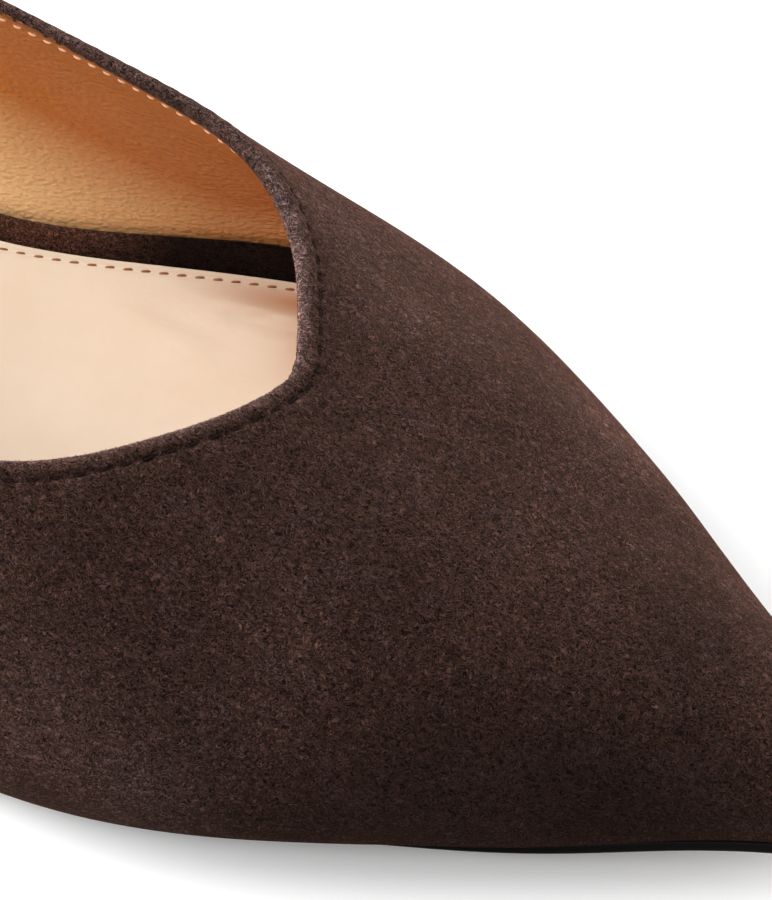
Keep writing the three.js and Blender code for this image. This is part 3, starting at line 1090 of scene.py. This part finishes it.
def scaled(tree, vector, by):
    return add(tree, "VectorMath", {0: vector, "Scale": by}, operation="SCALE").outputs[0]


def mixed(tree, factor, first, second):
    """One colour turned into another by a factor."""
    first, second = ((*color, 1) if isinstance(color, tuple) else color for color in (first, second))
    return add(tree, "Mix", {"Factor": factor, 6: first, 7: second}, data_type="RGBA").outputs[2]


def read(tree, name):
    """A number that is stored on the piece's points."""
    return add(tree, "Attribute", attribute_name=name, attribute_type="GEOMETRY").outputs["Fac"]


def parts_of(tree, vector):
    """The three numbers of a vector."""
    return add(tree, "SeparateXYZ", {0: vector}).outputs


def group(name, inputs, outputs):
    tree = bpy.data.node_groups.new(name, "ShaderNodeTree")
    for socket, kind in inputs:
        tree.interface.new_socket(socket, in_out="INPUT", socket_type="NodeSocket" + kind)
    for socket, kind in outputs:
        tree.interface.new_socket(socket, in_out="OUTPUT", socket_type="NodeSocket" + kind)
    return tree, tree.nodes.new("NodeGroupInput"), tree.nodes.new("NodeGroupOutput")


def use(tree, shared, inputs):
    return add(tree, "Group", inputs, node_tree=shared)


def blank(name, roughness):
    """A material with its tree, its shader and the object's coordinates in millimetres."""
    material = bpy.data.materials.new(name)
    material.use_nodes = True
    tree = material.node_tree
    shader = tree.nodes["Principled BSDF"]
    shader.inputs["Roughness"].default_value = roughness
    return material, tree, shader, scaled(tree, add(tree, "TexCoord").outputs["Object"], 1000.0)


def bump(tree, shader, height, distance):
    made = add(tree, "Bump", {"Height": height, "Distance": distance * MM, "Strength": 1.0})
    tree.links.new(made.outputs[0], shader.inputs["Normal"])


print("node helpers ready")

# %% [markdown]
# ## Brushed nap
#
# Suede is a felt of short curled fibres. They catch the light one by one, so close up
# the brown breaks into fine wavy flecks. The flecks are noise that is stretched along
# the direction of brushing, after the coordinates have been bent by a slower noise so
# that they curl. The group puts out a brightness, a warmth and a height, and each suede
# piece mixes its own browns with them.

# %% Brushed nap
BRUSHED = -29.8
puts_out = [("Light", "Float"), ("Warmth", "Float"), ("Height", "Float")]
nap, entry, exit_ = group("brushed_nap", [("Millimetres", "Vector")], puts_out)
where = entry.outputs[0]
curl = noise(nap, where, 1.1, 1.0).outputs["Color"]
bent = add(nap, "VectorMath", {0: curl, 1: (0.5, 0.5, 0.5)}, operation="SUBTRACT").outputs[0]
bent = scaled(nap, bent, 1.4)
bent = add(nap, "VectorMath", {0: bent, 1: where}, operation="ADD").outputs[0]


def curled_fibres(scales, detail):
    """Thin curved lines: the places where a noise passes through its middle value."""
    value = noise(nap, stretched(nap, bent, BRUSHED, scales), 1.0, detail, 0.5, 0.5).outputs["Fac"]
    return ramp(nap, off(nap, value, 0.5), 0.0, 0.075, 1.0, 0.0)


fibre = calc(nap, "MAXIMUM", curled_fibres((1.5, 3.2, 3.0), 1.0), curled_fibres((2.1, 4.4, 4.1), 0.5))
clump = noise(nap, stretched(nap, bent, BRUSHED, (0.9, 2.4, 2.2)), 1.0, 2.0, 0.6, 0.3).outputs["Fac"]
clump = ramp(nap, clump, 0.32, 0.68, 0.38, 1.62)
blotch = noise(nap, where, 0.28, 2.0, 0.6).outputs["Fac"]
patch = noise(nap, where, 0.065, 2.0, 0.5, 0.4).outputs["Fac"]
flecks = ramp(nap, fibre, 0.0, 1.0, 0.2, 2.25)
uneven = ramp(nap, blotch, 0.3, 0.7, 0.88, 1.12), ramp(nap, patch, 0.3, 0.7, 0.86, 1.14)
nap.links.new(times(nap, flecks, clump, *uneven), exit_.inputs["Light"])
nap.links.new(ramp(nap, blotch, 0.52, 0.66, 1.0, 0.0), exit_.inputs["Warmth"])
nap.links.new(times(nap, fibre, clump), exit_.inputs["Height"])
print("brushed_nap", len(nap.nodes), "nodes")

# %% [markdown]
# ## Suede
#
# Two browns are mixed by the nap's warmth and multiplied by its brightness. On the skin
# the painted light and shade multiply them again, and where that painted light is
# strongest the brown turns greyer, a painted sheen. Below each stitch the nap is pressed
# in, and the shade of that dip is painted into the brown. Seen at a grazing angle the
# tips of the fibres catch the light. That sheen is painted too, so the brown gets lighter
# towards the silhouette. A darker brown is made for the band, with painted light at its
# heel end and a painted shadow under the throat: its shade says where along the shoe, in
# millimetres, the brightness goes from one factor to the other.

# %% Suede
# Grey of a painted sheen, mixed in where the painted light is strongest
PAINTED_SHEEN_GREY = (0.0385, 0.0232, 0.0212)


def suede_material(name, cool, warm, stitched=False, shade=None):
    material, tree, shader, millimetres = blank(name, 0.95)
    pile = use(tree, nap, {"Millimetres": millimetres})
    brown = mixed(tree, pile.outputs["Warmth"], cool, warm)
    light = pile.outputs["Light"]
    if stitched:
        # The skin's painted light and shade
        painted_shading_value = read(tree, "painted_shading")
        brown = mixed(tree, ramp(tree, painted_shading_value, 1.0, 2.6, 0.0, 1.0), brown, PAINTED_SHEEN_GREY)
        at, below, _ = parts_of(tree, add(tree, "TexCoord").outputs["UV"])
        beat = off(tree, calc(tree, "FRACT", calc(tree, "ADD", at, 0.5)), 0.5)
        near_hole = ramp(tree, beat, 0.24, 0.36, 1.0, 0.0)
        near_row = ramp(tree, off(tree, below, CHANNEL_AT), 0.16, 0.34, 1.0, 0.0)
        # Painted shade in the dip below each stitch
        painted_hole_shade = times(tree, near_hole, near_row, 0.72)
        light = times(tree, light, painted_shading_value, calc(tree, "SUBTRACT", 1.0, painted_hole_shade))
    # Painted light and shade along the shoe: brighter towards the heel, a painted shadow under the throat
    if shade:
        along = parts_of(tree, millimetres)[0]
        light = times(tree, light, ramp(tree, along, *shade))
    # A painted sheen: the brown is made lighter at grazing angles
    facing = add(tree, "LayerWeight", {"Blend": 0.5}).outputs["Facing"]
    painted_sheen = times(tree, calc(tree, "POWER", facing, 2.5), 2.3)
    light = times(tree, light, calc(tree, "ADD", painted_sheen, 1.0))
    tree.links.new(scaled(tree, brown, light), shader.inputs["Base Color"])
    bump(tree, shader, pile.outputs["Height"], 0.1)
    shader.inputs["Specular IOR Level"].default_value = 0.04
    shader.inputs["Sheen Weight"].default_value = 0.1
    shader.inputs["Sheen Roughness"].default_value = 0.5
    shader.inputs["Sheen Tint"].default_value = (0.8, 0.5, 0.4, 1)
    return material


suede = suede_material("suede", (0.0395, 0.0197, 0.0168), (0.038, 0.0178, 0.0131), stitched=True)
# The band's painted light towards the heel and its painted shadow under the throat
BAND_PAINTED_LIGHT_AND_SHADE = (109, 122, 3.1, 0.15)
band_suede = suede_material("band_suede", (0.034, 0.015, 0.011), (0.036, 0.016, 0.0105), shade=BAND_PAINTED_LIGHT_AND_SHADE)
print("suede", len(suede.node_tree.nodes), "nodes")

# %% [markdown]
# ## Smooth leathers
#
# The lining and the sock are smooth leathers with a fine grain: small cells crossed by
# wrinkles. One group makes that grain, and each material stretches the coordinates in
# its own way. Threads, the heel and the sole use it too, only finer or flatter. A line
# of the table is two colours that the grain's tone mixes, the roughness, the stretch
# along X, Y and Z, and how high the grain stands in millimetres.

# %% Leather grain
puts_out = [("Height", "Float"), ("Tone", "Float")]
grain, entry, exit_ = group("leather_grain", [("Millimetres", "Vector")], puts_out)
where = entry.outputs[0]
cells = add(grain, "TexVoronoi", {"Vector": where, "Scale": 1.6}, feature="SMOOTH_F1").outputs["Distance"]
wrinkle = noise(grain, where, 0.7, 4.0, 0.6, 1.2).outputs["Fac"]
fine = noise(grain, where, 3.2, 2.0, 0.6).outputs["Fac"]
height = calc(grain, "ADD", times(grain, wrinkle, 0.55), times(grain, cells, -0.6))
height = calc(grain, "ADD", height, times(grain, fine, 0.2))
grain.links.new(height, exit_.inputs["Height"])
grain.links.new(noise(grain, where, 0.12, 3.0, 0.6).outputs["Fac"], exit_.inputs["Tone"])
print("leather_grain", len(grain.nodes), "nodes")

# %% Leathers and threads
LEATHERS = {
    "lining": ((0.455, 0.128, 0.01), (0.425, 0.117, 0.008), 0.38, (0.85, 0.85, 1.5), 0.3),
    "sock": ((0.86, 0.735, 0.575), (0.83, 0.695, 0.53), 0.42, (1, 1, 1), 0.03),
    "thread_tan": ((0.72, 0.38, 0.21), (0.62, 0.31, 0.16), 0.6, (4, 4, 4), 0.05),
    # The sock's thread: its own tan, deepened by the painted shade of the holes it sinks into
    "thread_tan_painted_shade": ((0.37, 0.145, 0.055), (0.27, 0.1, 0.038), 0.7, (4, 4, 4), 0.05),
    "thread_brown": ((0.014, 0.007, 0.0055), (0.009, 0.0045, 0.0035), 0.8, (4, 4, 4), 0.05),
    "heel_stack": ((0.012, 0.0095, 0.008), (0.008, 0.0065, 0.0055), 0.36, (1, 1, 0.35), 0.02),
    "sole_leather": ((0.42, 0.24, 0.12), (0.36, 0.19, 0.09), 0.5, (0.8, 0.8, 0.8), 0.03),
}


def leather_material(name):
    color, deeper, roughness, scales, relief = LEATHERS[name]
    material, tree, shader, millimetres = blank(name, roughness)
    surface = use(tree, grain, {"Millimetres": stretched(tree, millimetres, 0, scales)})
    deep = ramp(tree, surface.outputs["Tone"], 0.3, 0.7, 0.0, 1.0)
    tree.links.new(mixed(tree, deep, color, deeper), shader.inputs["Base Color"])
    rough = ramp(tree, surface.outputs["Height"], 0.2, 0.9, roughness - 0.06, roughness + 0.08)
    tree.links.new(rough, shader.inputs["Roughness"])
    bump(tree, shader, surface.outputs["Height"], relief)
    return material, tree, shader


def laid_over(tree, shader, mask, color):
    """Puts a colour over the shader's own where the mask is 1."""
    own = shader.inputs["Base Color"].links[0].from_socket
    changed = mixed(tree, mask, own, color)
    tree.links.new(changed, shader.inputs["Base Color"])
    return changed


tan_thread = leather_material("thread_tan")[0]
sock_stitch = leather_material("thread_tan_painted_shade")[0]
black = leather_material("heel_stack")[0]
brown_thread, tree, shader = leather_material("thread_brown")
shader.inputs["Specular IOR Level"].default_value = 0.1
print(len(LEATHERS), "leathers and threads")

# %% [markdown]
# ## Lining, sock and sole leather
#
# The lining is glossy under a thin coat. Its reflection of the pale sock is painted into
# its colour, paler low down and towards the heel, and a narrow shadow is painted under
# its lip. The sock is painted browner in a few lines near the throat, a painted shade
# along its edge and in its creases. The sole is bare tan leather under a black ink, and
# each is laid over the leather by a mask.

# %% Lining, sock and sole leather
tan, tree, shader = leather_material("lining")
x, _, z = parts_of(tree, add(tree, "TexCoord").outputs["Object"])
# A painted reflection of the sock: paler tan low down and towards the heel
painted_reflection = ramp(tree, x, 90 * MM, 126 * MM, 1.36, 0.28)
painted_reflection = calc(tree, "SUBTRACT", painted_reflection, ramp(tree, z, 12 * MM, 32 * MM, 0.0, 1.46))
with_painted_reflection = laid_over(tree, shader, ramp(tree, painted_reflection, 0.0, 1.0, 0.0, 1.0), (0.87, 0.56, 0.26))
below = parts_of(tree, add(tree, "TexCoord").outputs["UV"])[1]
# A painted shadow under the lip
shadow = ramp(tree, below, 0.6, 1.8, 0.4, 1.0)
tree.links.new(scaled(tree, with_painted_reflection, shadow), shader.inputs["Base Color"])
shader.inputs["Coat Weight"].default_value = 0.2
shader.inputs["Coat Roughness"].default_value = 0.3

pale, tree, shader = leather_material("sock")
# Painted shade on the sock near the throat and in its creases
laid_over(tree, shader, read(tree, "painted_shade"), (0.45, 0.16, 0.045))

sole_leather, tree, shader = leather_material("sole_leather")
laid_over(tree, shader, read(tree, "ink"), (0.004, 0.003, 0.0025))
shader.inputs["Specular IOR Level"].default_value = 0.25
print("lining", len(tan.node_tree.nodes), "nodes")

# %% [markdown]
# ## Dressing the pieces
#
# Each piece gets its material and hangs from the root, and the solids that it replaces
# are hidden. The upper's solid is replaced by the skin and the lining together. The sock
# is padded.

# %% Dress the pieces
dressed = [
    (suede_skin, "suede", suede, ["upper"]),
    (lining, "lining", tan, ["upper"]),
    (collar_thread, "thread_brown", brown_thread, []),
    (lining_thread, "thread_tan", tan_thread, []),
    (collar_fibres, "suede", suede, []),
    (band, "band_suede", band_suede, ["foot_band"]),
    (sock, "sock", pale, ["insole"]),
    (sock_thread, "thread_tan", sock_stitch, []),
    (outsole, "sole_leather", sole_leather, ["outsole"]),
    (heel, "heel_stack", black, ["heel"]),
]
for piece, slot, material, nodes in dressed:
    piece.data.materials.clear()
    piece.data.materials.append(material)
    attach(piece, "root")
    if nodes:
        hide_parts(*nodes)
print(len(dressed), "pieces dressed")

# %% [markdown]
# ## Floor and light
#
# The photograph was taken on white paper, so bright that only the shadow under the sole
# has any tone. Four suns stand for windows, and each is 50 degrees wide, so shadows
# have soft edges. The strongest comes from behind the heel, along the opening, and
# lights the sock. One from the far side brings out the nap along the silhouette. Two
# weak ones come from above the opening and from the near side of the toe. The paper is
# bright for the camera only: as a lamp for the shoe it is turned down with a Light Path
# node, because the suede's near side is dark.

# %% Floor and light
bpy.ops.object.select_all(action="DESELECT")
bpy.ops.mesh.primitive_plane_add(size=8, location=(0.1, 0, 0))
floor = bpy.context.object
floor.name = "floor"
paper, tree, shader, millimetres = blank("floor_paper", 0.9)
shader.inputs["Specular IOR Level"].default_value = 0.0
seen = add(tree, "LightPath").outputs["Is Camera Ray"]
tree.links.new(mixed(tree, seen, (0.12, 0.12, 0.12), (0.97, 0.97, 0.97)), shader.inputs["Base Color"])
tree.links.new(seen, shader.inputs["Emission Color"])
shader.inputs["Emission Strength"].default_value = 0.1
floor.data.materials.append(paper)
floor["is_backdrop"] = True

world = bpy.data.worlds.new("studio")
world.use_nodes = True
world.node_tree.nodes["Background"].inputs["Color"].default_value = (1, 1, 1, 1)
world.node_tree.nodes["Background"].inputs["Strength"].default_value = 0.12
bpy.context.scene.world = world
bpy.context.scene.view_settings.view_transform = "Standard"


def soft_sun(name, towards, strength):
    bpy.ops.object.light_add(type="SUN")
    light = bpy.context.object
    light.name = name
    light.rotation_mode = "QUATERNION"
    light.rotation_quaternion = Vector(towards).to_track_quat("Z", "Y")
    light.data.energy = strength
    light.data.angle = math.radians(50)


soft_sun("window behind the heel", (-0.85, -0.35, 0.4), 5.6)
soft_sun("above the opening", (-0.7, 0.0, 0.7), 1.5)
soft_sun("near side, from the toe", (0.55, -0.45, 0.7), 0.9)
soft_sun("far side", (0.3, 0.8, 0.25), 4.2)
print("four suns")

# %% Finish
size = {"cad": [list(v) for v in cad_box], "visual": [list(v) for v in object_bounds()]}
